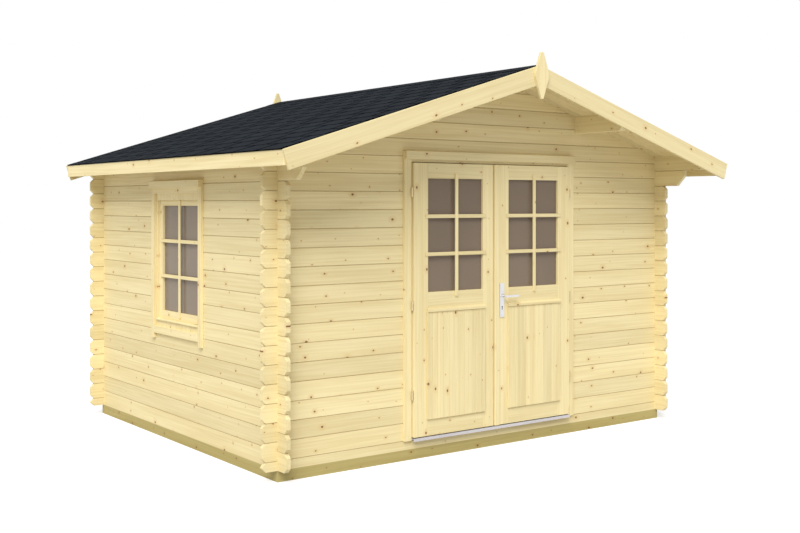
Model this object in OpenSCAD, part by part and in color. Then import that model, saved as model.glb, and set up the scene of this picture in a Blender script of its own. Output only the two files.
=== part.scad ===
// Garden house: a log cabin with crossed corners, a gable roof and a glazed double door.
// The front faces -Y, and the origin is on the ground at the middle of the roof's plan.

/* [Walls] */
// Outer width across the front wall
wall_w = 3356; // [2600:2:4600]
// Outer depth from the front wall to the back wall
wall_d = 2718; // [2200:2:4000]
// Height of one wall log
log_h = 114; // [100:1:136]
// Thickness of the wall logs
log_t = 28; // [28:1:45]
// Number of whole logs in a side wall
side_rows = 17; // [17:1:19]
// Length of the crossed log ends past the corner
log_end = 103; // [80:1:130]
// Bevel on the corners of a log end
end_bevel = 26; // [10:1:30]
// Depth of the V joint between two logs
joint_v = 3.5; // [2:0.5:6]
// Front reach of the second log from the top of a side wall
corbel_low = 285; // [200:1:340]
// Front reach of the top log of a side wall
corbel_high = 448; // [350:1:450]
// Bevel under the lower corbel
corbel_bevel = 75; // [30:1:90]

/* [Foundation and floor] */
// Height of the foundation beams
beam_h = 68; // [45:1:100]
// Width of the foundation beams
beam_w = 45; // [40:1:100]
// Set-back of the foundation from the wall faces
beam_inset = 0; // [0:1:12]
// Number of joists between the side beams
joist_count = 5; // [3:1:7]
// Thickness of the floor boards
floor_t = 19; // [18:1:28]

/* [Roof] */
// Pitch of the roof in degrees
roof_pitch = 17.3; // [15:0.1:22]
// Roof underside above the nominal wall top, at the wall's outer face
roof_drop = -13; // [-20:1:0]
// Sideways reach of the bargeboards past the side walls
eave_over = 237; // [180:1:320]
// Forward reach of the roof boards past the front wall
front_over = 454; // [445:1:600]
// Reach of the roof boards past the back wall
back_over = 138; // [125:1:300]
// Thickness of the roof boards
roof_board_t = 18; // [15:1:24]
// Thickness of the shingle covering
shingle_t = 6; // [4:0.5:10]
// Reach of the shingles past the fascia
shingle_lip = 8; // [4:1:10]
// Reach of the ridge shingles down each side
ridge_reach = 120; // [90:1:160]
// Depth of the bargeboards
barge_h = 120; // [90:1:150]
// Thickness of the bargeboards
barge_t = 18; // [15:1:24]
// Rise of the bargeboard's top edge above the roof boards
barge_rise = 3; // [1:1:14]
// Depth of the eave fascia
fascia_h = 88; // [70:1:120]
// Thickness of the eave fascia
fascia_t = 18; // [15:1:24]
// Bargeboard end past the fascia's outer face
barge_past_fascia = 10; // [5:1:16]
// Distance of each purlin's middle from the ridge line
purlin_x = 819; // [700:1:920]
// Width of a purlin
purlin_w = 58; // [44:1:70]
// Depth of a purlin at its taller face
purlin_h = 121; // [100:1:145]
// Bevel under a purlin's front end
purlin_bevel = 32; // [10:1:40]
// Height of a ridge finial
finial_h = 303; // [240:1:340]
// Width of a ridge finial
finial_w = 120; // [90:1:150]
// Thickness of a ridge finial
finial_t = 18; // [15:1:24]
// Rise of a finial's tip above the bargeboards
finial_rise = 83; // [50:1:110]

/* [Door] */
// Width across both door leaves
door_w = 1388; // [1200:2:1500]
// Height of the door leaves
door_h = 1762; // [1650:1:1775]
// Thickness of a door leaf
leaf_t = 40; // [36:1:44]
// How far the leaves stand in front of the wall face
leaf_proud = 37; // [32:1:40]
// Gap where the two leaves meet
meeting_gap = 7; // [7:0.5:9]
// Shift of the right leaf's free edge past the middle of the doorway
meeting_shift = 18; // [10:1:24]
// Width of the outer stiles and of the meeting stiles
stile_w = 113; // [95:1:130]
// Height of the top rail
top_rail = 99; // [80:1:120]
// Distance from the half meeting strip to the glass, each side of the doorway's middle
glass_in = 115; // [100:1:130]
// Height of the middle rail down to the panel
mid_rail = 113; // [100:1:150]
// Height of the bottom rail
bottom_rail = 107; // [90:1:130]
// Height of the glass opening
glass_h = 736; // [600:1:800]
// Lap of the lower panel over the stiles and rails
panel_lap = 12; // [5:1:20]
// Thickness of the lower panel in front of the leaf
panel_t = 12; // [8:1:16]
// Height of the drip moulding over the panel
drip_h = 28; // [20:1:34]
// How far the drip moulding stands in front of the leaf
drip_t = 20; // [16:1:24]
// Width of the strip where the leaves meet
strip_w = 40; // [30:1:50]
// Thickness of the meeting strip
strip_t = 12; // [6:1:15]
// Width of the trim boards round the door
door_trim_w = 58; // [45:1:70]
// Thickness of the trim boards
trim_t = 18; // [15:1:20]
// Extra thickness of the cap boards
cap_t = 22; // [8:1:24]
// Height of the cap boards
cap_h = 54; // [45:1:70]
// Gap between a leaf and the fixed pieces round it
leaf_gap = 5; // [5:0.5:8]
// Depth of the door frame behind the wall face
frame_d = 50; // [46:1:60]
// Stop that a leaf closes against
stop_w = 25; // [20:1:35]
// Thickness of a door frame post beside a leaf
post_t = 31; // [28:1:40]
// Height of the trim's head board below its cap
head_show = 17; // [10:1:30]
// Height of the metal threshold
threshold_h = 15; // [12:1:15]
// Reach of the threshold in front of the wall face
threshold_out = 40; // [30:1:45]
// Sheet thickness of the metal threshold
threshold_t = 2.5; // [2:0.5:3]

/* [Hinges and handle] */
// Distance of the hinge pins in front of the wall face
pin_front = 30; // [30:1:36]
// Distance of the hinge pins beyond the leaf's edge
pin_out = 11; // [11:1:14]
// Radius of a hinge knuckle
knuckle_r = 7; // [6:0.5:8]
// Height of a whole hinge
hinge_h = 60; // [50:1:80]
// Radius of a hinge pin
pin_r = 3.5; // [3:0.1:4]
// Radius of the stems that hold the knuckles
stem_r = 4; // [3:0.5:5]
// Gap between the two knuckles of a hinge
knuckle_gap = 0.5; // [0.3:0.1:1]
// Running clearance round a pin or spindle
pin_clear = 0.1; // [0.05:0.01:0.1]
// Middles of the hinges above the bottom of the leaf
hinge_z = [271, 845, 1572];
// Height of a handle plate
plate_h = 230; // [180:1:240]
// Width of a handle plate
plate_w = 38; // [30:1:42]
// Thickness of a handle plate
plate_t = 6; // [3:1:8]
// Distance of the handle's spindle from the middle of the doorway
handle_in = 51; // [45:1:60]
// Height of the handle's spindle above the bottom of the leaf
handle_up = 872; // [820:1:950]
// Length of the lever from its spindle
lever_len = 118; // [90:1:130]
// Standoff of the lever from its plate
lever_out = 36; // [34:1:45]
// Radius of the lever's spindle
spindle_r = 4; // [3.5:0.1:5]

/* [Window] */
// Outer width of the window's trim
window_trim_out = 786; // [640:2:860]
// Height of the window's top above the foundation
window_top = 1735; // [1600:1:1780]
// Height from the bottom of the lower trim to the top of the cap
window_h = 1075; // [800:1:1150]
// Width of the window's trim boards
window_trim_w = 46; // [40:1:60]
// Height of the window's lower trim board
low_trim_h = 52; // [40:1:70]
// Thickness of the window's trim boards
window_trim_t = 20; // [18:1:28]
// Extra thickness of the window's cap board
window_cap_t = 20; // [8:1:24]
// Length of the side trims below the lower trim
trim_tail = 36; // [0:1:60]
// Height of the window's head trim below its cap
window_head = 37; // [25:1:60]
// Height of the window's cap board
window_cap_h = 51; // [40:1:70]
// Width of the fixed window frame that shows inside the side trims
frame_show = 17; // [10:1:30]
// Height of the fixed window frame that shows under the head trim
frame_top_show = 47; // [30:1:60]
// Height of the fixed window frame that shows over the lower trim
frame_low_show = 53; // [40:1:70]
// Depth of the fixed window frame behind the wall face
window_frame_d = 60; // [58:1:70]
// Part of the fixed frame that is hidden behind the trim
frame_hidden = 15; // [10:1:20]
// Width of the sash's side rails
sash_w = 48; // [35:1:60]
// Height of the sash's top rail
sash_top = 38; // [30:1:60]
// Height of the sash's bottom rail
sash_bottom = 56; // [45:1:80]
// Thickness of the sash
sash_t = 36; // [30:1:40]
// Set-back of the sash behind the wall face
sash_back = 20; // [15:1:22]
// Height of the window's sill board
sill_h = 12; // [10:1:20]
// Reach of the sill board in front of the wall face
sill_out = 14; // [10:1:24]
// Thickness of the glass
glass_t = 4; // [3:0.5:6]

/* [Hidden] */
$fn = 48;

seat = 0.3;                       // clearance of a piece that sits in another
lay = 0.1;                        // clearance between the layers of the roof
far = 6000;                       // longer than anything here, for cutting
half_w = wall_w / 2;
wall_base = beam_h;               // bottom of the lowest logs
wall_top = wall_base + side_rows * log_h;
slope = tan(roof_pitch);
rise_per_thick = 1 / cos(roof_pitch);
ridge_under = wall_top + roof_drop + slope * half_w;
board_v = roof_board_t * rise_per_thick;
shingle_v = shingle_t * rise_per_thick;
barge_x = half_w + eave_over;
fascia_x = barge_x - barge_past_fascia;
front_reach = front_over + barge_t + finial_t;
back_reach = back_over + barge_t + finial_t;
front_y = front_reach - (front_reach + wall_d + back_reach) / 2;

sill_top = wall_base + log_h / 2;         // top of the half log under the door
gable_z = wall_base + 16.5 * log_h;       // log joint over the door
leaf_z = sill_top + threshold_h + leaf_gap;
leaf_top = leaf_z + door_h;
glass_w = door_w / 2 - stile_w - glass_in;
right_edge = -meeting_shift;              // free edge of the right leaf
left_edge = meeting_shift + meeting_gap;  // free edge of the left leaf, mirrored
trim_in = door_w / 2 + leaf_gap;
trim_out = trim_in + door_trim_w;
door_cut = trim_in + post_t;
head_z = leaf_top + leaf_gap;             // underside of the head trim
cap_z = head_z + head_show;
stop_y = leaf_t - leaf_proud + leaf_gap;  // front of the stops behind the leaves

pin_x = door_w / 2 + pin_out;
bottom_rail_top = leaf_z + bottom_rail;
glass_top = leaf_top - top_rail;
glass_z = glass_top - glass_h;
panel_top = glass_z - mid_rail;
spindle_z = leaf_z + handle_up;

window_y = wall_d / 2;
window_z1 = wall_base + window_top;
window_z0 = window_z1 - window_h;
half_trim = window_trim_out / 2;
frame_in = half_trim - window_trim_w - frame_show;
frame_out = half_trim - window_trim_w + frame_hidden;
head_trim_z = window_z1 - window_cap_h - window_head;
low_trim_z = window_z0 + low_trim_h;
frame_lo = low_trim_z - frame_hidden;
frame_hi = head_trim_z + frame_hidden;
sash_lo = low_trim_z + frame_low_show;
sash_hi = head_trim_z - frame_top_show;

wood = [0.91, 0.82, 0.61];
pale_wood = [0.95, 0.87, 0.67];
treated_wood = [0.66, 0.59, 0.32];
bitumen = [0.16, 0.18, 0.22];
pane = [0.5, 0.46, 0.42, 0.5];
steel = [0.8, 0.8, 0.82];

// Places a shape whose y runs back from the front wall's outer face.
module placed() { translate([0, front_y, 0]) children(); }

// Extrudes an outline of y and z along x.
module along_x(x0, x1) {
    translate([x0, 0, 0]) rotate([90, 0, 90]) linear_extrude(x1 - x0) children();
}

// Extrudes an outline of x and z along y.
module along_y(y0, y1) {
    translate([0, y1, 0]) rotate([90, 0, 0]) linear_extrude(y1 - y0) children();
}

module block(lo, hi) { translate(lo) cube(hi - lo); }

module on_side(side) { mirror([side < 0 ? 1 : 0, 0, 0]) children(); }

// Cross-section of a stack of logs, with a V joint on both faces between two logs.
module log_section(z0, joints, z1) {
    polygon(concat(
        [[0, z0]],
        [for (z = joints) each [[0, z - joint_v], [joint_v, z], [0, z + joint_v]]],
        [[0, z1], [log_t, z1]],
        [for (i = [len(joints) - 1 : -1 : 0])
            each [[log_t, joints[i] + joint_v], [log_t - joint_v, joints[i]], [log_t, joints[i] - joint_v]]],
        [[log_t, z0]]));
}

// Edge of a wall where the bevelled log ends show: dir is 1 at the far end, -1 at the near end.
function end_edge(at, dir, rows) =
    [for (r = rows) each [[at - dir * end_bevel, r[0]], [at, r[0] + end_bevel],
                          [at, r[1] - end_bevel], [at - dir * end_bevel, r[1]]]];

function reversed(list) = [for (i = [len(list) - 1 : -1 : 0]) list[i]];

// Logs of the front and back walls start with a half log, so they lie half a log off the side logs.
cross_joints = [for (z = [sill_top : log_h : ridge_under - log_h / 2]) z];
cross_rows = [for (i = [0 : len(cross_joints) - 1])
    [i == 0 ? wall_base : cross_joints[i - 1], cross_joints[i]]];
side_joints = [for (i = [1 : side_rows - 1]) wall_base + i * log_h];
side_rows_z = [for (i = [0 : side_rows - 1]) [wall_base + i * log_h, wall_base + (i + 1) * log_h]];

// Everything below the roof boards, over the given run of y.
module under_roof(y0, y1) {
    along_y(y0, y1) polygon([[-far, 0], [far, 0], [far, ridge_under - slope * far],
                             [0, ridge_under], [-far, ridge_under - slope * far]]);
}

// Notches that let the crossing logs into each other at the four corners.
// phase 0 leaves room for the side logs, phase 1 for the front and back logs.
module corner_notches(phase) {
    for (i = [0 : side_rows], side = [-1, 1], y = [0, wall_d - log_t])
        translate([side < 0 ? -half_w : half_w - log_t, y,
                   wall_base + (i + 0.25 - phase * 0.5) * log_h])
            cube([log_t, log_t, log_h / 2]);
}

// The purlins, left open above the roof boards' underside: ridge first, then one on each side.
function purlin_low(x) = ridge_under - slope * max(0, abs(x) - purlin_w / 2) - purlin_h;

module purlin_blanks() {
    for (x = [0, -purlin_x, purlin_x])
        translate([x - purlin_w / 2, -front_over, purlin_low(x)])
            cube([purlin_w, front_over + wall_d + back_over, 2 * purlin_h]);
}

// A whole front or back wall with its gable, its outer face towards -y at y = 0.
module cross_wall() {
    ends = end_edge(half_w + log_end, 1, cross_rows);
    far_ends = reversed([for (p = ends) [-p[0], p[1]]]);
    intersection() {
        along_x(-far, far) log_section(wall_base, cross_joints, ridge_under + log_h);
        along_y(-1, log_t + 1) polygon(concat(ends, [[half_w, ridge_under + log_h],
                                              [-half_w, ridge_under + log_h]], far_ends));
        under_roof(-1, log_t + 1);
    }
}

// The front or back wall at its place, cut for the side logs and the purlins.
module notched_cross_wall(y) {
    difference() {
        translate([0, y, 0]) cross_wall();
        corner_notches(0);
        purlin_blanks();
    }
}

module side_wall(side) {
    upper = side_rows_z[side_rows - 1];
    lower = side_rows_z[side_rows - 2];
    plain = [for (i = [0 : side_rows - 3]) side_rows_z[i]];
    front_edge = concat(
        end_edge(-log_end, -1, plain),
        [[corbel_bevel - corbel_low, lower[0]], [-corbel_low, lower[0] + corbel_bevel],
         [-corbel_low, upper[0]], [end_bevel - corbel_high, upper[0]],
         [-corbel_high, upper[0] + end_bevel], [-corbel_high, upper[1]]]);
    back_edge = reversed(end_edge(wall_d + log_end, 1, side_rows_z));
    difference() {
        on_side(-side) intersection() {
            translate([-half_w, 0, 0]) along_x(0, log_t) polygon(concat(front_edge, back_edge));
            translate([-half_w, 0, 0]) along_y(-far, far) log_section(wall_base, side_joints, wall_top);
            under_roof(-far, far);
        }
        corner_notches(1);
    }
}

module foundation_ends() {
    color(treated_wood) placed() for (y = [beam_inset, wall_d - beam_inset - beam_w])
        block([beam_inset - half_w, y, 0], [half_w - beam_inset, y + beam_w, beam_h]);
}

module foundation_sides() {
    color(treated_wood) placed() for (side = [-1, 1])
        translate([side * (half_w - beam_inset - beam_w / 2) - beam_w / 2, beam_inset + beam_w, 0])
            cube([beam_w, wall_d - 2 * (beam_inset + beam_w), beam_h]);
}

module floor_joists() {
    room = wall_w - 2 * (beam_inset + beam_w);
    pitch = room / (joist_count + 1);
    color(treated_wood) placed() for (i = [1 : joist_count])
        translate([i * pitch - room / 2 - beam_w / 2, beam_inset + beam_w, 0])
            cube([beam_w, wall_d - 2 * (beam_inset + beam_w), beam_h]);
}

module floor_boards() {
    gap = log_t + 4;
    color(wood) placed() block([gap - half_w, gap, beam_h],
                               [half_w - gap, wall_d - gap, beam_h + floor_t]);
}

module front_sill_log() {
    color(wood) placed() intersection() {
        notched_cross_wall(0);
        block([-far, -1, 0], [far, log_t + 1, sill_top]);
    }
}

module front_wall_side(side) {
    color(wood) placed() intersection() {
        notched_cross_wall(0);
        on_side(-side) block([-far, -1, sill_top], [-door_cut, log_t + 1, gable_z]);
    }
}

module front_wall_left() { front_wall_side(-1); }
module front_wall_right() { front_wall_side(1); }

module front_gable() {
    color(wood) placed() intersection() {
        notched_cross_wall(0);
        block([-far, -1, gable_z], [far, log_t + 1, far]);
    }
}

module back_wall() {
    color(wood) placed() intersection() {
        notched_cross_wall(wall_d - log_t);
        block([-far, 0, 0], [far, far, gable_z]);
    }
}

module back_gable() {
    color(wood) placed() intersection() {
        notched_cross_wall(wall_d - log_t);
        block([-far, 0, gable_z], [far, far, far]);
    }
}

module left_wall() {
    color(wood) placed() difference() {
        side_wall(-1);
        block([-half_w - 1, window_y - frame_out, frame_lo],
              [log_t + 1 - half_w, window_y + frame_out, frame_hi]);
    }
}

module right_wall() { color(wood) placed() side_wall(1); }

module purlins() {
    color(pale_wood) placed() difference() {
        intersection() {
            purlin_blanks();
            under_roof(-far, far);
        }
        for (x = [0, -purlin_x, purlin_x]) translate([x, -front_over, purlin_low(x)])
            along_x(-purlin_w, purlin_w) polygon([[-1, -1], [purlin_bevel, -1], [purlin_bevel, 0],
                                                  [0, purlin_bevel], [-1, purlin_bevel]]);
    }
}

// A layer of the roof on one side, from a height over the roof boards' underside.
module roof_layer(side, x1, lift, thick, y0, y1) {
    on_side(side) along_y(y0, y1)
        polygon([[0, ridge_under + lift], [x1, ridge_under + lift - slope * x1],
                 [x1, ridge_under + lift + thick - slope * x1], [0, ridge_under + lift + thick]]);
}

module roof_boards(side) {
    color(pale_wood) placed()
        roof_layer(side, fascia_x - fascia_t, lay, board_v, -front_over, wall_d + back_over);
}

module roof_boards_left() { roof_boards(-1); }
module roof_boards_right() { roof_boards(1); }

module shingles(side) {
    color(bitumen) placed()
        roof_layer(side, fascia_x + shingle_lip, board_v + 2 * lay, shingle_v, -front_over,
                   wall_d + back_over);
}

module shingles_left() { shingles(-1); }
module shingles_right() { shingles(1); }

module ridge_shingles() {
    cap_v = shingle_v / 2;
    base = board_v + shingle_v + 3 * lay;
    color(bitumen) placed() for (side = [-1, 1]) on_side(side) along_y(-front_over, wall_d + back_over)
        polygon([[seat, ridge_under + base - slope * seat],
                 [ridge_reach, ridge_under + base - slope * ridge_reach],
                 [ridge_reach, ridge_under + base + cap_v - slope * ridge_reach],
                 [seat, ridge_under + base + cap_v - slope * seat]]);
}

module fascia(side) {
    top = ridge_under + board_v - slope * fascia_x;
    color(pale_wood) placed() on_side(side) along_y(-front_over, wall_d + back_over)
        polygon([[fascia_x - fascia_t, top - fascia_h], [fascia_x, top - fascia_h],
                 [fascia_x, top], [fascia_x - fascia_t, top + slope * fascia_t]]);
}

module fascia_left() { fascia(-1); }
module fascia_right() { fascia(1); }

// A pair of bargeboards, mitred at the ridge and cut square at the eaves.
module bargeboards(y0) {
    top = ridge_under + board_v + barge_rise * rise_per_thick;
    end_z = top - slope * barge_x;
    for (side = [-1, 1]) on_side(side) along_y(y0, y0 + barge_t) polygon([
        [seat, top - slope * seat], [barge_x, end_z],
        [barge_x - barge_h * sin(roof_pitch), end_z - barge_h * cos(roof_pitch)],
        [seat, top - slope * seat - barge_h * rise_per_thick]]);
}

module bargeboards_front() { color(pale_wood) placed() bargeboards(-front_over - barge_t); }
module bargeboards_back() { color(pale_wood) placed() bargeboards(wall_d + back_over); }

// A spear-shaped board over the joint of a pair of bargeboards.
module finial(y0) {
    tip = ridge_under + board_v + barge_rise * rise_per_thick + finial_rise;
    tip_half = finial_w / 11;
    wide_hi = tip - finial_h * 0.45;
    wide_lo = tip - finial_h * 0.53;
    along_y(y0, y0 + finial_t) polygon([
        [-tip_half, tip], [tip_half, tip], [finial_w / 2, wide_hi], [finial_w / 2, wide_lo],
        [tip_half * 0.8, tip - finial_h], [-tip_half * 0.8, tip - finial_h],
        [-finial_w / 2, wide_lo], [-finial_w / 2, wide_hi]]);
}

module finials() {
    color(pale_wood) placed() for (y = [-front_over - barge_t - finial_t, wall_d + back_over + barge_t])
        finial(y);
}

// Frame of the doorway: posts and head with the stops that the leaves close against.
module door_frame() {
    color(wood) placed() difference() {
        block([-door_cut, 0, sill_top], [door_cut, frame_d, gable_z]);
        block([-trim_in, -1, sill_top - 1], [trim_in, stop_y, head_z]);
        block([stop_w - trim_in, -1, sill_top - 1], [trim_in - stop_w, frame_d + 1, head_z - stop_w]);
    }
}

module door_trim() {
    color(pale_wood) placed() difference() {
        block([-trim_out, -trim_t, sill_top], [trim_out, 0, cap_z + cap_h]);
        block([-trim_in, -trim_t - 1, sill_top - 1], [trim_in, 1, head_z]);
    }
}

// The thicker boards over the door's and the window's trim.
module cap_boards() {
    color(pale_wood) placed() {
        block([-trim_out, -trim_t - cap_t, cap_z], [trim_out, -trim_t, cap_z + cap_h]);
        window_block(-window_trim_t - window_cap_t, -window_trim_t, half_trim,
                     window_z1 - window_cap_h, window_z1);
    }
}

module threshold() {
    lip = threshold_t - threshold_out;
    color(steel) placed() along_x(seat - trim_in, trim_in - seat) polygon([
        [-threshold_out, sill_top - 2 * threshold_t], [lip, sill_top - 2 * threshold_t],
        [lip, sill_top + threshold_h - threshold_t], [0, sill_top + threshold_h - threshold_t],
        [0, sill_top], [stop_y - seat, sill_top], [stop_y - seat, sill_top + threshold_h],
        [-threshold_out, sill_top + threshold_h]]);
}

// One door leaf on the +x side, from its free edge to its hinge edge, open for the glass.
module leaf_frame(free_edge) {
    difference() {
        block([free_edge, -leaf_proud, leaf_z], [door_w / 2, leaf_t - leaf_proud, leaf_top]);
        block([glass_in, -leaf_proud - 1, glass_z], [glass_in + glass_w, leaf_t, glass_top]);
    }
}

// The boarded lower panel with its drip moulding.
module leaf_panel() {
    x0 = glass_in - panel_lap;
    x1 = glass_in + glass_w + panel_lap;
    drip_z = panel_top - drip_h / 2;
    block([x0, -leaf_proud - panel_t, bottom_rail_top], [x1, -leaf_proud, drip_z]);
    block([x0, -leaf_proud - drip_t, drip_z], [x1, -leaf_proud, drip_z + drip_h]);
}

module leaf_glass() {
    y0 = leaf_t / 2 - leaf_proud - glass_t / 2;
    block([glass_in + seat, y0, glass_z + seat],
          [glass_in + glass_w - seat, y0 + glass_t, glass_top - seat]);
}

module left_leaf() { color(wood) placed() on_side(-1) leaf_frame(left_edge); }
module left_panel() { color(pale_wood) placed() on_side(-1) leaf_panel(); }
module left_glass() { color(pane) placed() on_side(-1) leaf_glass(); }

module right_leaf() {
    color(wood) placed() difference() {
        leaf_frame(right_edge);
        translate([handle_in, 0, spindle_z]) rotate([90, 0, 0])
            cylinder(r = 2 * spindle_r, h = 4 * leaf_t, center = true);
    }
}

module right_panel() { color(pale_wood) placed() leaf_panel(); }
module right_glass() { color(pane) placed() leaf_glass(); }

// Strip on the right leaf that hides where the leaves meet.
module meeting_strip() {
    color(pale_wood) placed() block([right_edge, -leaf_proud - strip_t, leaf_z],
                                    [right_edge + strip_w, -leaf_proud, leaf_top]);
}

// Fixed lower knuckles with their pins, each on a stem from the trim board.
module hinge_posts() {
    color(steel) placed() for (z = hinge_z, side = [-1, 1])
        translate([side * pin_x, -pin_front, leaf_z + z]) {
            translate([0, 0, -hinge_h / 2]) cylinder(r = knuckle_r, h = hinge_h / 2 - knuckle_gap);
            translate([0, 0, -1]) cylinder(r = pin_r, h = hinge_h / 2 - 3);
            translate([0, 0, -hinge_h / 4]) rotate([-90, 0, 0]) cylinder(r = stem_r, h = pin_front - trim_t);
        }
}

// Upper knuckles that turn on the pins, each on a stem from the leaf's edge.
module hinge_knuckles(side) {
    color(steel) placed() for (z = hinge_z) translate([side * pin_x, -pin_front, leaf_z + z])
        difference() {
            union() {
                cylinder(r = knuckle_r, h = hinge_h / 2);
                translate([0, 0, hinge_h / 4]) rotate([0, -side * 90, 0]) cylinder(r = stem_r, h = pin_out);
            }
            translate([0, 0, -1]) cylinder(r = pin_r + pin_clear, h = hinge_h / 2 - 2);
        }
}

module left_hinge_knuckles() { hinge_knuckles(-1); }
module right_hinge_knuckles() { hinge_knuckles(1); }

// Outside and inside handle plates with the bore for the spindle.
module handle_plates() {
    color(steel) placed() for (y = [-leaf_proud - plate_t, leaf_t - leaf_proud])
        difference() {
            block([handle_in - plate_w / 2, y, spindle_z - plate_h * 0.62],
                  [handle_in + plate_w / 2, y + plate_t, spindle_z + plate_h * 0.38]);
            translate([handle_in, y - 1, spindle_z]) rotate([-90, 0, 0])
                cylinder(r = spindle_r + pin_clear, h = plate_t + 2);
        }
}

// Outside and inside levers on one spindle.
module lever() {
    arm_h = 14;
    arm_t = 10;
    reach = lever_len - arm_h / 2;
    y_out = -leaf_proud - plate_t - seat;
    y_in = leaf_t - leaf_proud + plate_t + seat;
    color(steel) placed() translate([handle_in, 0, spindle_z]) {
        translate([0, y_out, 0]) rotate([-90, 0, 0]) cylinder(r = spindle_r, h = y_in - y_out);
        for (y = [y_out - lever_out, y_in]) translate([0, y, 0]) rotate([-90, 0, 0])
            cylinder(r = 2 * spindle_r, h = lever_out);
        for (y = [y_out - lever_out - arm_t / 2, y_in + lever_out - arm_t / 2]) {
            translate([0, y, -arm_h / 2]) cube([reach, arm_t, arm_h]);
            translate([reach, y, 0]) rotate([-90, 0, 0]) cylinder(r = arm_h / 2, h = arm_t);
        }
    }
}

// A block on the left wall: x is measured inwards from its outer face, y from the window's middle.
module window_block(x0, x1, y1, z0, z1) {
    block([x0 - half_w, window_y - y1, z0], [x1 - half_w, window_y + y1, z1]);
}

module window_frame() {
    color(wood) placed() difference() {
        window_block(0, window_frame_d, frame_out, frame_lo, frame_hi);
        window_block(-1, window_frame_d + 1, frame_in, sash_lo, sash_hi);
    }
}

module window_trim() {
    inner = half_trim - window_trim_w;
    color(pale_wood) placed() difference() {
        window_block(-window_trim_t, 0, half_trim, window_z0 - trim_tail, window_z1);
        window_block(-window_trim_t - 1, 1, inner, low_trim_z, head_trim_z);
        window_block(-window_trim_t - 1, 1, inner, 0, window_z0);
    }
}

module window_sash() {
    color(wood) placed() difference() {
        window_block(sash_back, sash_back + sash_t, frame_in - seat, sash_lo + seat, sash_hi - seat);
        window_block(0, far, frame_in - sash_w, sash_lo + sash_bottom, sash_hi - sash_top);
    }
}

module window_glass() {
    mid = sash_back + sash_t / 2;
    color(pane) placed() window_block(mid - glass_t / 2, mid + glass_t / 2, frame_in - sash_w - seat,
                                      sash_lo + sash_bottom + seat, sash_hi - sash_top - seat);
}

module window_sill() {
    color(pale_wood) placed() window_block(-sill_out, 0, frame_in, sash_lo - sill_h, sash_lo);
}

foundation_ends();
foundation_sides();
floor_joists();
floor_boards();
front_sill_log();
front_wall_left();
front_wall_right();
front_gable();
back_wall();
back_gable();
left_wall();
right_wall();
purlins();
roof_boards_left();
roof_boards_right();
shingles_left();
shingles_right();
ridge_shingles();
fascia_left();
fascia_right();
bargeboards_front();
bargeboards_back();
finials();
door_frame();
door_trim();
cap_boards();
threshold();
left_leaf();
left_panel();
left_glass();
right_leaf();
right_panel();
right_glass();
meeting_strip();
hinge_posts();
left_hinge_knuckles();
right_hinge_knuckles();
handle_plates();
lever();
window_frame();
window_trim();
window_sash();
window_glass();
window_sill();
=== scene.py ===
import math

import bpy
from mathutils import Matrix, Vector


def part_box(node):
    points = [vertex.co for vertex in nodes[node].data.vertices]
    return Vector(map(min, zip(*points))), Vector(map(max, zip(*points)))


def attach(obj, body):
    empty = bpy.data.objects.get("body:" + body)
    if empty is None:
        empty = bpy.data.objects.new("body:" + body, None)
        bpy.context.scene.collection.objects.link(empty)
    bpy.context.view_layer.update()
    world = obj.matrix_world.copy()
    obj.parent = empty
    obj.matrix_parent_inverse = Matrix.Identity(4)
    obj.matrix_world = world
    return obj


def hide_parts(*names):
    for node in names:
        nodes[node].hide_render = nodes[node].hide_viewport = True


# Garden house: a spruce log cabin with a shingled roof, a side window and a glazed double door.
# Lengths are in metres, with the house's front towards -Y.

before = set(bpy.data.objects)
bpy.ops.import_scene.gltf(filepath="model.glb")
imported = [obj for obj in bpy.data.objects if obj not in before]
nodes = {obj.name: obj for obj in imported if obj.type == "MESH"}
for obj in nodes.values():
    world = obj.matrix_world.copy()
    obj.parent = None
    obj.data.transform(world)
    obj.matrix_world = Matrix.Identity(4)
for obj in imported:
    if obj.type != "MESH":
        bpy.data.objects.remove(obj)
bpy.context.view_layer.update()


def low(node):
    return Vector(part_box(node)[0])


def high(node):
    return Vector(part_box(node)[1])


# Camera

camera = {"place": (-4.999, -6.909, 1.645), "heading": -36.47, "lens": 50.1, "shiftY": -0.0787}


def setCamera():
    bpy.ops.object.camera_add(location=camera["place"],
                              rotation=(math.radians(90), 0, math.radians(camera["heading"])))
    view = bpy.context.object
    view.data.lens = camera["lens"]
    view.data.shift_y = camera["shiftY"]
    view.data.clip_end = 100
    bpy.context.scene.camera = view


setCamera()
print("camera set")

# Shader node helpers


def link(tree, source, target):
    tree.links.new(source, target)


def mathNode(tree, operation, first, second=None, third=None):
    node = tree.nodes.new("ShaderNodeMath")
    node.operation = operation
    for socket, value in zip(node.inputs, (first, second, third)):
        if value is None:
            continue
        if isinstance(value, (int, float)):
            socket.default_value = value
        else:
            link(tree, value, socket)
    return node.outputs[0]


def combine(tree, x, y, z):
    node = tree.nodes.new("ShaderNodeCombineXYZ")
    for socket, value in zip(node.inputs, (x, y, z)):
        if isinstance(value, (int, float)):
            socket.default_value = value
        else:
            link(tree, value, socket)
    return node.outputs[0]


def noise(tree, vector, scale, detail, roughness=0.5):
    node = tree.nodes.new("ShaderNodeTexNoise")
    node.inputs["Scale"].default_value = scale
    node.inputs["Detail"].default_value = detail
    node.inputs["Roughness"].default_value = roughness
    link(tree, vector, node.inputs["Vector"])
    return node.outputs[0]


def smoothRange(tree, value, start, end, bottom=0.0, top=1.0):
    node = tree.nodes.new("ShaderNodeMapRange")
    node.interpolation_type = "SMOOTHSTEP"
    link(tree, value, node.inputs["Value"])
    for name, amount in (("From Min", start), ("From Max", end), ("To Min", bottom), ("To Max", top)):
        if isinstance(amount, (int, float)):
            node.inputs[name].default_value = amount
        else:
            link(tree, amount, node.inputs[name])
    return node.outputs[0]


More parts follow.
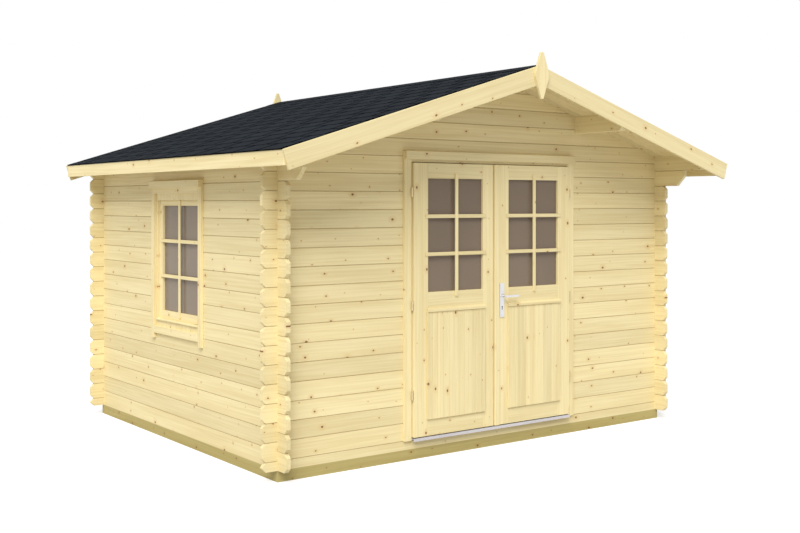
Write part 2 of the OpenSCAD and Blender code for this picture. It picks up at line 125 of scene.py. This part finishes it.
def mixColor(tree, factor, first, second, blend="MIX"):
    node = tree.nodes.new("ShaderNodeMix")
    node.data_type = "RGBA"
    node.blend_type = blend
    for socket, value in ((node.inputs[0], factor), (node.inputs[6], first), (node.inputs[7], second)):
        if isinstance(value, (int, float)):
            socket.default_value = value
        elif isinstance(value, tuple):
            socket.default_value = (*value, 1)
        else:
            link(tree, value, socket)
    return node.outputs[2]


def bump(tree, height, strength, distance):
    node = tree.nodes.new("ShaderNodeBump")
    node.inputs["Strength"].default_value = strength
    node.inputs["Distance"].default_value = distance
    link(tree, height, node.inputs["Height"])
    return node.outputs[0]


def newGroup(name, inputs, outputs):
    group = bpy.data.node_groups.new(name, "ShaderNodeTree")
    for socketName, kind in inputs:
        group.interface.new_socket(socketName, in_out="INPUT", socket_type=kind)
    for socketName, kind in outputs:
        group.interface.new_socket(socketName, in_out="OUTPUT", socket_type=kind)
    return group, group.nodes.new("NodeGroupInput"), group.nodes.new("NodeGroupOutput")


# Spruce: X of the vector runs along the grain and Y across the face

grain = {"knotsAlong": 3.8, "knotsAcross": 9.5, "streaks": 75.0, "bands": 11.0, "wobble": 0.02}


def makeSpruceGroup():
    group, inward, outward = newGroup(
        "spruceFigure",
        [("Vector", "NodeSocketVector"), ("Row", "NodeSocketFloat")],
        [("Streak", "NodeSocketFloat"), ("Knot", "NodeSocketFloat"), ("Halo", "NodeSocketFloat"),
         ("Tone", "NodeSocketFloat"), ("Height", "NodeSocketFloat")])
    split = group.nodes.new("ShaderNodeSeparateXYZ")
    link(group, inward.outputs["Vector"], split.inputs[0])
    row = inward.outputs["Row"]
    along = mathNode(group, "ADD", split.outputs[0], mathNode(group, "MULTIPLY", row, 3.71))
    across = mathNode(group, "ADD", split.outputs[1], mathNode(group, "MULTIPLY", row, 1.37))
    depth = split.outputs[2]

    # knots, round in metres though their cells are long
    cellPlace = combine(group, mathNode(group, "MULTIPLY", along, grain["knotsAlong"]),
                        mathNode(group, "MULTIPLY", across, grain["knotsAcross"]), 0.0)
    cells = group.nodes.new("ShaderNodeTexVoronoi")
    cells.voronoi_dimensions = "2D"
    cells.inputs["Scale"].default_value = 1.0
    link(group, cellPlace, cells.inputs["Vector"])
    away = group.nodes.new("ShaderNodeVectorMath")
    away.operation = "SUBTRACT"
    link(group, cells.outputs["Position"], away.inputs[0])
    link(group, cellPlace, away.inputs[1])
    metric = group.nodes.new("ShaderNodeVectorMath")
    metric.operation = "MULTIPLY"
    metric.inputs[1].default_value = (0.75 / grain["knotsAlong"], 1 / grain["knotsAcross"], 0)
    link(group, away.outputs[0], metric.inputs[0])
    length = group.nodes.new("ShaderNodeVectorMath")
    length.operation = "LENGTH"
    link(group, metric.outputs[0], length.inputs[0])
    distance = length.outputs["Value"]
    pick = group.nodes.new("ShaderNodeSeparateColor")
    link(group, cells.outputs["Color"], pick.inputs[0])
    radius = mathNode(group, "ADD", 0.002, mathNode(
        group, "MULTIPLY", mathNode(group, "POWER", pick.outputs[0], 2.0), 0.0075))
    present = mathNode(group, "GREATER_THAN", pick.outputs[1], 0.2)
    knot = smoothRange(group, distance, mathNode(group, "MULTIPLY", radius, 0.6), radius, 1.0, 0.0)
    halo = smoothRange(group, distance, radius, mathNode(group, "MULTIPLY", radius, 4.0), 1.0, 0.0)
    link(group, mathNode(group, "MULTIPLY", knot, present), outward.inputs["Knot"])
    haloShown = mathNode(group, "MULTIPLY", halo, present)
    link(group, haloShown, outward.inputs["Halo"])

    # the grain bends round a knot and wanders along the board
    drift = noise(group, combine(group, mathNode(group, "MULTIPLY", along, 1.6),
                                 mathNode(group, "MULTIPLY", across, 5.0), depth), 1.0, 2.0)
    bent = mathNode(group, "ADD", across, mathNode(group, "MULTIPLY", drift, grain["wobble"]))
    bent = mathNode(group, "ADD", bent, mathNode(group, "MULTIPLY", haloShown, 0.012))
    fine = combine(group, mathNode(group, "MULTIPLY", along, 1.3),
                   mathNode(group, "MULTIPLY", bent, grain["streaks"]),
                   mathNode(group, "MULTIPLY", depth, grain["streaks"]))
    streak = noise(group, fine, 1.0, 5.0, 0.6)
    wide = combine(group, mathNode(group, "MULTIPLY", along, 0.9),
                   mathNode(group, "MULTIPLY", bent, grain["bands"]),
                   mathNode(group, "MULTIPLY", depth, grain["bands"]))
    band = noise(group, wide, 1.0, 3.0, 0.55)
    mixed = mathNode(group, "ADD", mathNode(group, "MULTIPLY", streak, 0.55),
                     mathNode(group, "MULTIPLY", band, 0.45))
    link(group, smoothRange(group, mixed, 0.36, 0.66), outward.inputs["Streak"])
    random = group.nodes.new("ShaderNodeTexWhiteNoise")
    random.noise_dimensions = "1D"
    link(group, row, random.inputs["W"])
    link(group, random.outputs["Value"], outward.inputs["Tone"])
    link(group, mathNode(group, "SUBTRACT", streak, mathNode(group, "MULTIPLY", knot, 0.3)),
         outward.inputs["Height"])
    return group


spruceFigure = makeSpruceGroup()

spruce = {"light": (0.880, 0.755, 0.430), "dark": (0.770, 0.632, 0.326),
          "halo": (0.690, 0.440, 0.170), "knot": (0.130, 0.045, 0.018), "toneRange": 0.10}


def spruceMaterial(name, along, across, pitch=0.0, start=0.0, tilt=0.0, jointDark=0.0, tint=(1, 1, 1),
                   rowAxis=None):
    """along and across name the object axes of the grain and of the board's width"""
    material = bpy.data.materials.new(name)
    material.use_nodes = True
    tree = material.node_tree
    shader = tree.nodes["Principled BSDF"]
    place = tree.nodes.new("ShaderNodeTexCoord").outputs["Object"]
    split = tree.nodes.new("ShaderNodeSeparateXYZ")
    link(tree, place, split.inputs[0])
    axis = {"x": split.outputs[0], "y": split.outputs[1], "z": split.outputs[2]}
    depthAxis = [letter for letter in "xyz" if letter not in (along, across)][0]
    v = axis[across]
    if tilt:
        v = mathNode(tree, "ADD", v, mathNode(tree, "MULTIPLY", mathNode(tree, "ABSOLUTE", axis["x"]), tilt))
    if pitch:
        rows = mathNode(tree, "DIVIDE", mathNode(tree, "SUBTRACT", axis[rowAxis or across], start), pitch)
        row = mathNode(tree, "FLOOR", rows)
    else:
        row = mathNode(tree, "MULTIPLY", 1.0, float(len(name)))
    figure = tree.nodes.new("ShaderNodeGroup")
    figure.node_tree = spruceFigure
    link(tree, combine(tree, axis[along], v, axis[depthAxis]), figure.inputs["Vector"])
    link(tree, row, figure.inputs["Row"])
    tinted = {key: tuple(a * b for a, b in zip(spruce[key], tint)) for key in ("light", "dark", "halo")}
    color = mixColor(tree, figure.outputs["Streak"], tinted["light"], tinted["dark"])
    tone = smoothRange(tree, figure.outputs["Tone"], 0.0, 1.0, 1 - spruce["toneRange"], 1.0)
    color = mixColor(tree, 1.0, color, combine(tree, tone, tone, tone), "MULTIPLY")
    color = mixColor(tree, mathNode(tree, "MULTIPLY", figure.outputs["Halo"], 0.35), color, tinted["halo"])
    color = mixColor(tree, mathNode(tree, "MULTIPLY", figure.outputs["Knot"], 0.85), color, spruce["knot"])
    if jointDark:
        part = mathNode(tree, "FRACT", rows)
        edge = mathNode(tree, "MINIMUM", part, mathNode(tree, "SUBTRACT", 1.0, part))
        gap = smoothRange(tree, mathNode(tree, "MULTIPLY", edge, pitch), 0.0006, 0.0042, jointDark, 0.0)
        color = mixColor(tree, gap, color, (0.26, 0.17, 0.07))
    link(tree, color, shader.inputs["Base Color"])
    link(tree, smoothRange(tree, figure.outputs["Streak"], 0.0, 1.0, 0.58, 0.72), shader.inputs["Roughness"])
    shader.inputs["Specular IOR Level"].default_value = 0.3
    link(tree, bump(tree, figure.outputs["Height"], 0.35, 0.0006), shader.inputs["Normal"])
    return material


logHeight = 0.114
wallBase = low("front_sill_log").z
boardThick = 0.018
roofPitch = math.radians(17.3)
slope = math.tan(roofPitch)
ridgeUnder = high("roof_boards_right").z - boardThick / math.cos(roofPitch)

crossLogs = spruceMaterial("crossLogs", "x", "z", logHeight, wallBase + logHeight / 2, jointDark=0.5)
sideLogs = spruceMaterial("sideLogs", "y", "z", logHeight, wallBase, jointDark=0.5,
                          tint=(0.985, 0.985, 0.985))
boardsUpright = spruceMaterial("boardsUpright", "z", "x")
boardsUprightSide = spruceMaterial("boardsUprightSide", "z", "y")
boardsLevel = spruceMaterial("boardsLevel", "x", "z")
boardsLevelSide = spruceMaterial("boardsLevelSide", "y", "z")
boardsSloped = spruceMaterial("boardsSloped", "x", "z", tilt=slope, tint=(1.02, 1.02, 1.02))
panelBoards = spruceMaterial("panelBoards", "z", "x", 0.0818, low("right_panel").x)
# The soffit boards are tinted darker than the other spruce: painted shade under the eaves.
soffitBoards = spruceMaterial("soffitBoards", "x", "y", 0.0945, low("roof_boards_left").y,
                              tint=(0.93, 0.92, 0.90))
floorPlanks = spruceMaterial("floorPlanks", "x", "y", 0.1, low("floor_boards").y, jointDark=0.8)


def plainMaterial(name, color, roughness, metallic=0.0, speckle=0.12, scale=180.0, depth=0.0002, coat=0.0,
                  specular=0.5):
    material = bpy.data.materials.new(name)
    material.use_nodes = True
    tree = material.node_tree
    shader = tree.nodes["Principled BSDF"]
    place = tree.nodes.new("ShaderNodeTexCoord").outputs["Object"]
    grainy = noise(tree, place, scale, 4.0, 0.65)
    cloudy = noise(tree, place, 3.0, 3.0)
    both = mathNode(tree, "ADD", mathNode(tree, "MULTIPLY", grainy, 0.6),
                    mathNode(tree, "MULTIPLY", cloudy, 0.4))
    darker = tuple(channel * (1 - 2 * speckle) for channel in color)
    lighter = tuple(min(1.0, channel * (1 + 2 * speckle)) for channel in color)
    link(tree, mixColor(tree, smoothRange(tree, both, 0.3, 0.7), darker, lighter), shader.inputs["Base Color"])
    link(tree, smoothRange(tree, grainy, 0.2, 0.8, max(0.05, roughness - 0.08), roughness + 0.08),
         shader.inputs["Roughness"])
    shader.inputs["Metallic"].default_value = metallic
    shader.inputs["Coat Weight"].default_value = coat
    shader.inputs["Specular IOR Level"].default_value = specular
    link(tree, bump(tree, grainy, 0.4, depth), shader.inputs["Normal"])
    return material


def treatedMaterial(name, along):
    across = "y" if along == "x" else "x"
    return spruceMaterial(name, along, "z", tint=(0.55, 0.53, 0.36)) if across else None


treatedX = treatedMaterial("treatedTimberX", "x")
treatedY = treatedMaterial("treatedTimberY", "y")
shingleFace = plainMaterial("shingleFace", (0.0072, 0.0104, 0.0146), 0.9, speckle=0.28, scale=420.0,
                            depth=0.0008, specular=0.06)
# The underlay is near black: painted shade in the slots between the tabs, where the course below lies in shadow.
shingleSlotShade = plainMaterial("shingleSlotShade", (0.002, 0.0022, 0.003), 0.95, speckle=0.2, specular=0.0)
satinSteel = plainMaterial("satinSteel", (0.70, 0.70, 0.72), 0.34, metallic=0.85, speckle=0.03)
hingeSteel = plainMaterial("hingeSteel", (0.66, 0.53, 0.30), 0.42, metallic=0.55, speckle=0.05)
rolledAluminium = plainMaterial("rolledAluminium", (0.55, 0.53, 0.55), 0.42, metallic=0.7, speckle=0.05)
# Near black for the keyhole: painted shade standing in for the depth of the hole.
keyholeShade = plainMaterial("keyholeShade", (0.01, 0.01, 0.01), 0.6)


def glassMaterial(name, color, alpha):
    material = bpy.data.materials.new(name)
    material.use_nodes = True
    tree = material.node_tree
    shader = tree.nodes["Principled BSDF"]
    place = tree.nodes.new("ShaderNodeTexCoord").outputs["Object"]
    cloudy = noise(tree, place, 1.4, 2.0)
    shade = tuple(channel * 0.9 for channel in color)
    link(tree, mixColor(tree, smoothRange(tree, cloudy, 0.3, 0.7), shade, color), shader.inputs["Base Color"])
    shader.inputs["Roughness"].default_value = 0.06
    shader.inputs["Specular IOR Level"].default_value = 0.25
    shader.inputs["Alpha"].default_value = alpha
    return material


# Both panes carry the dim brown-grey of the shaded room behind them: painted shade of the interior, on glass that is
# mostly opaque.
doorGlass = glassMaterial("doorGlass", (0.270, 0.205, 0.148), 0.78)
windowGlass = glassMaterial("windowGlass", (0.330, 0.262, 0.192), 0.78)
print("materials made")

# Modelling helpers


def deselect():
    bpy.ops.object.select_all(action="DESELECT")


def activate(piece):
    deselect()
    piece.select_set(True)
    bpy.context.view_layer.objects.active = piece


def applyModifiers(piece):
    activate(piece)
    for modifier in list(piece.modifiers):
        bpy.ops.object.modifier_apply(modifier=modifier.name)


def applyPlace(piece):
    activate(piece)
    bpy.ops.object.transform_apply(location=True, rotation=True, scale=True)


def addBevel(piece, width, segments=2):
    bevel = piece.modifiers.new("edges", "BEVEL")
    bevel.width = width
    bevel.segments = segments
    bevel.limit_method = "ANGLE"
    bevel.angle_limit = math.radians(35)
    bevel.harden_normals = False
    applyModifiers(piece)


def finish(piece, name, material, body, slotName, *replaced):
    piece.name = name
    piece.data.name = name
    piece.data.materials.clear()
    piece.data.materials.append(material)
    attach(piece, body)
    if replaced:
        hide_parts(*replaced)
    return piece


def blank(lowCorner, highCorner, bevelWidth=0.002):
    """A planed board between two corners, its edges eased."""
    lowCorner, highCorner = Vector(lowCorner), Vector(highCorner)
    bpy.ops.mesh.primitive_cube_add(size=1, location=(lowCorner + highCorner) / 2)
    piece = bpy.context.object
    piece.scale = highCorner - lowCorner
    applyPlace(piece)
    addBevel(piece, bevelWidth)
    return piece


def joined(pieces):
    deselect()
    for piece in pieces:
        piece.select_set(True)
    bpy.context.view_layer.objects.active = pieces[0]
    bpy.ops.object.join()
    return bpy.context.object


def eased(node, name, width, material, slotName, body, segments=2):
    """A copy of a built node with its sharp edges eased, which stands for it."""
    piece = bpy.data.objects.new(name, nodes[node].data.copy())
    bpy.context.collection.objects.link(piece)
    activate(piece)
    bpy.ops.mesh.customdata_custom_splitnormals_clear()
    bpy.ops.object.mode_set(mode="EDIT")
    bpy.ops.mesh.select_all(action="SELECT")
    bpy.ops.mesh.remove_doubles(threshold=0.00005)
    bpy.ops.mesh.dissolve_limited(angle_limit=math.radians(1))
    bpy.ops.mesh.normals_make_consistent(inside=False)
    bpy.ops.object.mode_set(mode="OBJECT")
    addBevel(piece, width, segments)
    return finish(piece, name, material, body, slotName, node)


def dress(node, material):
    data = nodes[node].data
    data.materials.clear()
    data.materials.append(material)


# Walls, foundation and floor keep their built shapes

for node in ("front_sill_log", "front_wall_left", "front_wall_right", "front_gable", "back_wall", "back_gable"):
    dress(node, crossLogs)
for node in ("left_wall", "right_wall"):
    dress(node, sideLogs)
dress("foundation_ends", treatedX)
dress("foundation_sides", treatedY)
dress("floor_joists", treatedY)
dress("floor_boards", floorPlanks)
print("walls dressed")

# Roof

roof = {"boardWidth": 0.0945, "tabPitch": 0.27, "tabSlot": 0.032, "exposure": 0.145, "capLength": 0.2, "capReach": 0.12}


# Turns a piece laid flat from x = 0 outwards on to one side of the roof
def onSlope(piece, side):
    piece.rotation_euler = (0, roofPitch, 0)
    piece.location = (0, 0, ridgeUnder)
    applyPlace(piece)
    if side < 0:
        bpy.ops.object.mode_set(mode="EDIT")
        bpy.ops.mesh.select_all(action="SELECT")
        bpy.ops.transform.resize(value=(-1, 1, 1), center_override=(0, 0, 0))
        bpy.ops.mesh.flip_normals()
        bpy.ops.object.mode_set(mode="OBJECT")
    return piece


def soffit(side, node):
    run = high("roof_boards_right").x / math.cos(roofPitch)
    start, end = low(node).y, high(node).y
    count = round((end - start) / roof["boardWidth"])
    width = (end - start) / count
    board = blank((0.006, start, 0.0), (run - 0.006, start + width, boardThick), 0.003)
    row = board.modifiers.new("row", "ARRAY")
    row.count = count
    row.use_relative_offset = False
    row.use_constant_offset = True
    row.constant_offset_displace = (0, width, 0)
    applyModifiers(board)
    onSlope(board, side)
    finish(board, node + "_planks", soffitBoards, "house", "roof_boards", node)


def shingleSide(side, node):
    start, end = low(node).y, high(node).y
    run = (high("shingles_right").x - 0.009) / math.cos(roofPitch)
    # The near-black underlay paints the shade seen through the slots between the tabs.
    base = blank((0.0, start, 0.0181), (run, end, 0.0205), 0.0005)
    onSlope(base, side)
    finish(base, node + "_underlay", shingleSlotShade, "house", "shingles", node)
    courses = math.ceil(run / roof["exposure"])
    pieces = []
    for course in range(courses):
        butt = run + 0.001 - course * roof["exposure"]
        top = max(0.0, butt - roof["exposure"] - 0.012)
        shift = (course % 2) * roof["tabPitch"] / 2
        first = start - roof["tabPitch"] + shift
        tab = blank((top, first + roof["tabSlot"], 0.0206), (butt, first + roof["tabPitch"], 0.0236), 0.0006)
        row = tab.modifiers.new("row", "ARRAY")
        row.count = math.ceil((end - first) / roof["tabPitch"])
        row.use_relative_offset = False
        row.use_constant_offset = True
        row.constant_offset_displace = (0, roof["tabPitch"], 0)
        applyModifiers(tab)
        # the butt of each tab lies on the course below, its head on the underlay
        bpy.ops.object.mode_set(mode="EDIT")
        bpy.ops.mesh.select_all(action="SELECT")
        bpy.ops.transform.rotate(value=math.radians(1.0), orient_axis="Y", center_override=(top, 0, 0.0206))
        bpy.ops.object.mode_set(mode="OBJECT")
        pieces.append(tab)
    sheet = joined(pieces)
    bpy.ops.object.mode_set(mode="EDIT")
    for y, normal in ((start, -1), (end, 1)):
        bpy.ops.mesh.select_all(action="SELECT")
        bpy.ops.mesh.bisect(plane_co=(0, y, 0), plane_no=(0, normal, 0), use_fill=True, clear_outer=True)
    bpy.ops.object.mode_set(mode="OBJECT")
    onSlope(sheet, side)
    finish(sheet, node + "_tabs", shingleFace, "house", "shingles")


def ridgeCaps():
    start, end = low("ridge_shingles").y, high("ridge_shingles").y
    count = round((end - start) / roof["capLength"])
    length = (end - start) / count
    halves = []
    for side in (-1, 1):
        cap = blank((0, start, 0.0248), (roof["capReach"], start + length - 0.004, 0.0275), 0.0006)
        row = cap.modifiers.new("row", "ARRAY")
        row.count = count
        row.use_relative_offset = False
        row.use_constant_offset = True
        row.constant_offset_displace = (0, length, 0)
        applyModifiers(cap)
        halves.append(onSlope(cap, side))
    finish(joined(halves), "ridge_caps", shingleFace, "house", "shingles", "ridge_shingles")


soffit(-1, "roof_boards_left")
soffit(1, "roof_boards_right")
shingleSide(-1, "shingles_left")
shingleSide(1, "shingles_right")
ridgeCaps()
eased("bargeboards_front", "barge_front", 0.0025, boardsSloped, "trim", "house")
eased("bargeboards_back", "barge_back", 0.0025, boardsSloped, "trim", "house")
eased("finials", "ridge_spears", 0.0025, boardsUpright, "trim", "house")
eased("fascia_left", "eave_board_left", 0.002, boardsLevelSide, "trim", "house")
eased("fascia_right", "eave_board_right", 0.002, boardsLevelSide, "trim", "house")
eased("purlins", "roof_purlins", 0.003, boardsLevelSide, "purlins", "house")
print("roof made")

# Door

door = {"barWidth": 0.024, "barProudUpright": 0.010, "barProudLevel": 0.008, "barPastSide": 0.025,
        "barPastEnd": 0.035, "panelCount": 6, "dripHeight": 0.028, "lap": 0.05}


def bars(opening, axisAcross, face, outward, name, material, materialLevel, body, slotName):
    """One upright and two level bars over a glass opening given as (low, high) corners."""
    lowCorner, highCorner = opening
    half = door["barWidth"] / 2
    middle = (lowCorner[axisAcross] + highCorner[axisAcross]) / 2

    def bar(a0, a1, z0, z1, proud):
        corners = [[0, 0, 0], [0, 0, 0]]
        depthAxis = 1 - axisAcross
        corners[0][axisAcross], corners[1][axisAcross] = a0, a1
        corners[0][2], corners[1][2] = z0, z1
        corners[0][depthAxis], corners[1][depthAxis] = sorted((face, face + outward * proud))
        return blank(corners[0], corners[1], 0.0022)

    upright = bar(middle - half, middle + half, lowCorner.z - door["barPastEnd"],
                  highCorner.z + door["barPastEnd"], door["barProudUpright"])
    finish(upright, name + "_upright_bar", material, body, slotName)
    third = (highCorner.z - lowCorner.z) / 3
    for index in (1, 2):
        z = lowCorner.z + index * third
        level = bar(lowCorner[axisAcross] - door["barPastSide"], highCorner[axisAcross] + door["barPastSide"],
                    z - half, z + half, door["barProudLevel"])
        finish(level, f"{name}_level_bar_{index}", materialLevel, body, slotName)


def doorLeaf(side, body):
    leafLow, leafHigh = low(side + "_leaf"), high(side + "_leaf")
    glassLow, glassHigh = low(side + "_glass"), high(side + "_glass")
    panelLow, panelHigh = low(side + "_panel"), high(side + "_panel")
    front, back = leafLow.y, leafHigh.y
    stiles = [blank((leafLow.x, front, leafLow.z), (glassLow.x, back, leafHigh.z)),
              blank((glassHigh.x, front, leafLow.z), (leafHigh.x, back, leafHigh.z))]
    finish(joined(stiles), side + "_stiles", boardsUpright, body, "door", side + "_leaf")
    sunk = door["lap"]
    rails = [blank((glassLow.x, front, glassHigh.z), (glassHigh.x, back, leafHigh.z)),
             blank((glassLow.x, front, panelHigh.z - sunk), (glassHigh.x, back, glassLow.z)),
             blank((glassLow.x, front, leafLow.z), (glassHigh.x, back, panelLow.z + sunk))]
    finish(joined(rails), side + "_rails", boardsLevel, body, "door")
    width = (panelHigh.x - panelLow.x) / door["panelCount"]
    dripLow = panelHigh.z - door["dripHeight"]
    planks = []
    for index in range(door["panelCount"]):
        x = panelLow.x + index * width
        planks.append(blank((x, leafLow.y - 0.012, panelLow.z), (x + width, leafLow.y, dripLow), 0.0028))
    infill = blank((glassLow.x, front + 0.001, panelLow.z + sunk), (glassHigh.x, back - 0.01, panelHigh.z - sunk))
    planks.append(infill)
    finish(joined(planks), side + "_planks", panelBoards, body, "door", side + "_panel")
    drip = blank((panelLow.x, panelLow.y, dripLow), (panelHigh.x, front, panelHigh.z), 0.0018)
    activate(drip)
    bpy.ops.object.mode_set(mode="EDIT")
    bpy.ops.mesh.select_all(action="SELECT")
    bpy.ops.mesh.bisect(plane_co=(0, panelLow.y, panelHigh.z - 0.012), plane_no=(0, -0.62, 0.78),
                        use_fill=True, clear_outer=True)
    bpy.ops.object.mode_set(mode="OBJECT")
    finish(drip, side + "_drip_moulding", boardsLevel, body, "door")
    bars((glassLow, glassHigh), 0, front, -1, side + "_door", boardsUpright, boardsLevel, body, "door")
    dress(side + "_glass", doorGlass)
    dress(side + "_hinge_knuckles", hingeSteel)


doorLeaf("left", "left_door")
doorLeaf("right", "right_door")
eased("meeting_strip", "cover_strip", 0.0035, boardsUpright, "door", "right_door", 3)
dress("hinge_posts", hingeSteel)


def doorSurround():
    trimLow, trimHigh = low("door_trim"), high("door_trim")
    opening = low("left_leaf").x - 0.005, high("right_leaf").x + 0.005
    headZ = high("right_leaf").z + 0.005
    uprights = [blank((trimLow.x, trimLow.y, trimLow.z), (opening[0], trimHigh.y, trimHigh.z)),
                blank((opening[1], trimLow.y, trimLow.z), (trimHigh.x, trimHigh.y, trimHigh.z))]
    finish(joined(uprights), "door_side_trims", boardsUpright, "house", "trim", "door_trim")
    head = blank((opening[0], trimLow.y, headZ), (opening[1], trimHigh.y, trimHigh.z))
    finish(head, "door_head_trim", boardsLevel, "house", "trim")


doorSurround()
eased("door_frame", "door_jambs", 0.002, boardsUpright, "joinery", "house")
eased("threshold", "door_sill_strip", 0.0007, rolledAluminium, "threshold", "house")
print("door made")

# Handle

handle = {"keyholeDrop": 0.078, "screwRadius": 0.0035}


def disc(center, radius, depth, bevelWidth):
    bpy.ops.mesh.primitive_cylinder_add(vertices=32, radius=radius, depth=depth, location=center,
                                        rotation=(math.radians(90), 0, 0))
    piece = bpy.context.object
    applyPlace(piece)
    addBevel(piece, bevelWidth)
    return piece


def handleDetails():
    eased("handle_plates", "lock_plates", 0.0018, satinSteel, "handle", "right_door", 3)
    eased("lever", "lever_handle", 0.0022, satinSteel, "handle", "door_lever", 3)
    plateLow, plateHigh = low("handle_plates"), high("handle_plates")
    x = (plateLow.x + plateHigh.x) / 2
    leverZ = (low("lever").z + high("lever").z) / 2
    face = plateLow.y
    keyZ = leverZ - handle["keyholeDrop"]
    # The keyhole is a thin near-black disc and slot on the plate: painted shade where the hole would be.
    hole = joined([disc((x, face + 0.0002, keyZ + 0.006), 0.005, 0.001, 0.0002),
                   blank((x - 0.003, face - 0.0003, keyZ - 0.014), (x + 0.003, face + 0.0007, keyZ + 0.006), 0.0002)])
    finish(hole, "keyhole", keyholeShade, "right_door", "handle")
    screws = [disc((x, face - 0.0006, z), handle["screwRadius"], 0.002, 0.0008)
              for z in (plateLow.z + 0.014, plateHigh.z - 0.014)]
    finish(joined(screws), "plate_screws", satinSteel, "right_door", "handle")


handleDetails()
print("handle made")

# Window in the left wall

window = {"trimWidth": 0.046, "capHeight": 0.051, "lowTrim": 0.052, "tail": 0.036, "headTrim": 0.037}


def windowParts():
    trimLow, trimHigh = low("window_trim"), high("window_trim")
    side = window["trimWidth"]
    uprights = [blank((trimLow.x, trimLow.y, trimLow.z), (trimHigh.x, trimLow.y + side, trimHigh.z)),
                blank((trimLow.x, trimHigh.y - side, trimLow.z), (trimHigh.x, trimHigh.y, trimHigh.z))]
    finish(joined(uprights), "window_side_trims", boardsUprightSide, "house", "trim", "window_trim")
    bottom = trimLow.z + window["tail"]
    top = trimHigh.z - window["capHeight"] - window["headTrim"]
    levels = [blank((trimLow.x, trimLow.y + side, bottom), (trimHigh.x, trimHigh.y - side, bottom + window["lowTrim"])),
              blank((trimLow.x, trimLow.y + side, top), (trimHigh.x, trimHigh.y - side, trimHigh.z))]
    finish(joined(levels), "window_level_trims", boardsLevelSide, "house", "trim")
    eased("window_frame", "window_casing", 0.002, boardsUprightSide, "joinery", "house")
    sashLow, sashHigh = low("window_sash"), high("window_sash")
    glassLow, glassHigh = low("window_glass"), high("window_glass")
    stiles = [blank((sashLow.x, sashLow.y, sashLow.z), (sashHigh.x, glassLow.y, sashHigh.z)),
              blank((sashLow.x, glassHigh.y, sashLow.z), (sashHigh.x, sashHigh.y, sashHigh.z))]
    finish(joined(stiles), "sash_stiles", boardsUprightSide, "house", "joinery", "window_sash")
    rails = [blank((sashLow.x, glassLow.y, sashLow.z), (sashHigh.x, glassHigh.y, glassLow.z)),
             blank((sashLow.x, glassLow.y, glassHigh.z), (sashHigh.x, glassHigh.y, sashHigh.z))]
    finish(joined(rails), "sash_rails", boardsLevelSide, "house", "joinery")
    eased("window_sill", "window_ledge", 0.003, boardsLevelSide, "joinery", "house")
    bars((glassLow, glassHigh), 1, sashLow.x, -1, "window", boardsUprightSide, boardsLevelSide, "house", "joinery")
    dress("window_glass", windowGlass)


windowParts()
caps = eased("cap_boards", "trim_caps", 0.0025, boardsLevel, "trim", "house")
# the cap over the window runs along the left wall, so its grain does too
caps.data.materials.append(boardsLevelSide)
for face in caps.data.polygons:
    if face.center.x < low("door_frame").x - logHeight:
        face.material_index = 1
print("window made")

# Floor, light and world

studio = {"sunStrength": 3.0, "sunAngle": 40.0, "skyStrength": 0.55, "floorGlow": 0.5, "floorTone": 0.6}


def lightRays(tree):
    path = tree.nodes.new("ShaderNodeLightPath")
    seen = mathNode(tree, "MAXIMUM", path.outputs["Is Camera Ray"], path.outputs["Is Glossy Ray"])
    return path, mathNode(tree, "MAXIMUM", seen, path.outputs["Is Transmission Ray"])


def setStage():
    bpy.ops.mesh.primitive_plane_add(size=60, location=(0, 0, -0.0005))
    floor = bpy.context.object
    floor.name = "floor"
    applyPlace(floor)
    material = bpy.data.materials.new("studioFloor")
    material.use_nodes = True
    tree = material.node_tree
    shader = tree.nodes["Principled BSDF"]
    shader.inputs["Base Color"].default_value = (*[studio["floorTone"]] * 3, 1)
    shader.inputs["Roughness"].default_value = 1.0
    shader.inputs["Specular IOR Level"].default_value = 0.0
    shader.inputs["Emission Color"].default_value = (1, 1, 1, 1)
    path, seen = lightRays(tree)
    link(tree, mathNode(tree, "MULTIPLY", seen, studio["floorGlow"]), shader.inputs["Emission Strength"])
    floor.data.materials.append(material)
    world = bpy.context.scene.world or bpy.data.worlds.new("studio")
    bpy.context.scene.world = world
    world.use_nodes = True
    sky = world.node_tree
    path, seen = lightRays(sky)
    strength = smoothRange(sky, seen, 0.0, 1.0, studio["skyStrength"], 1.0)
    sky.nodes["Background"].inputs["Color"].default_value = (1, 1, 1, 1)
    link(sky, strength, sky.nodes["Background"].inputs["Strength"])
    bpy.ops.object.light_add(type="SUN", location=(-4, -8, 9),
                             rotation=(math.radians(44), 0, math.radians(-45)))
    sun = bpy.context.object
    sun.data.energy = studio["sunStrength"]
    sun.data.angle = math.radians(studio["sunAngle"])
    bpy.context.scene.view_settings.view_transform = "Standard"


setStage()
print("stage set")
